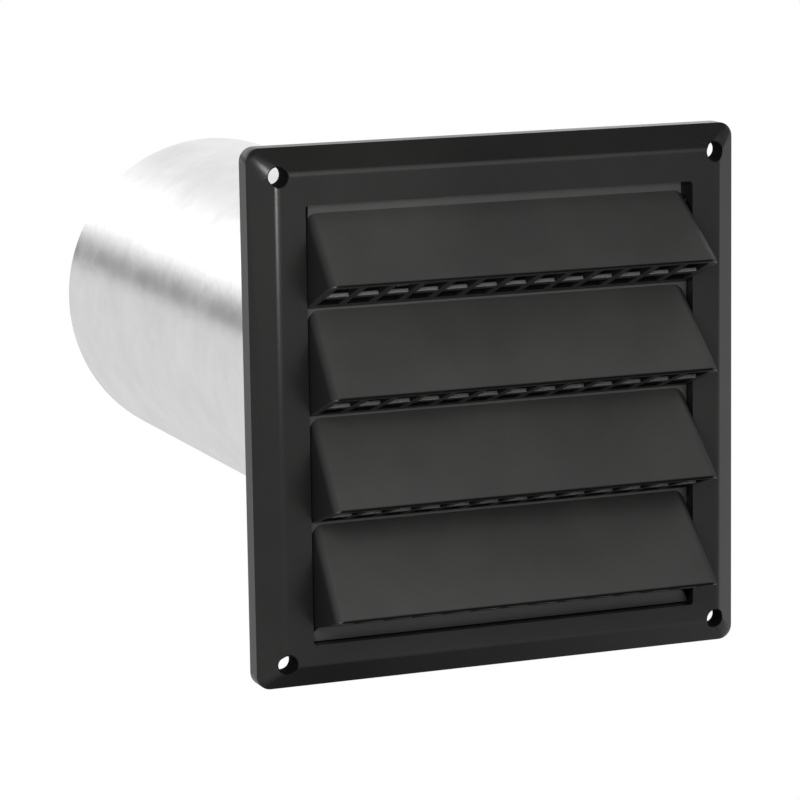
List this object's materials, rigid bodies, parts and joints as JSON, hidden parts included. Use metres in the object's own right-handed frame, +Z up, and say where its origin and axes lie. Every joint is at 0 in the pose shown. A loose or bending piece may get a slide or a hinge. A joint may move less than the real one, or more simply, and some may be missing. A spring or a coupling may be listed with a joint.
{
  "type": "louvered intake vent",
  "caption": "Square louvered intake vent for an outside wall: bevelled face frame, snap-in hood louvers with guard lattices, and a round tail pipe behind it.",
  "frame": {"origin": "centre of the face plate on the wall plane, on the axis of the tail pipe", "axes": "+X right as seen from outside, +Y into the wall along the pipe, +Z up; the louvers face -Y"},
  "size_m": [0.1444, 0.2684, 0.1488],
  "materials": {
    "frame_plastic": "satin black moulded plastic",
    "grille_plastic": "satin black moulded plastic",
    "pipe_metal": "bright rolled sheet"
  },
  "bodies": {
    "root": {"face_frame": "frame_plastic", "louver_grille": "grille_plastic", "tail_pipe": "pipe_metal"}
  },
  "joints": []
}
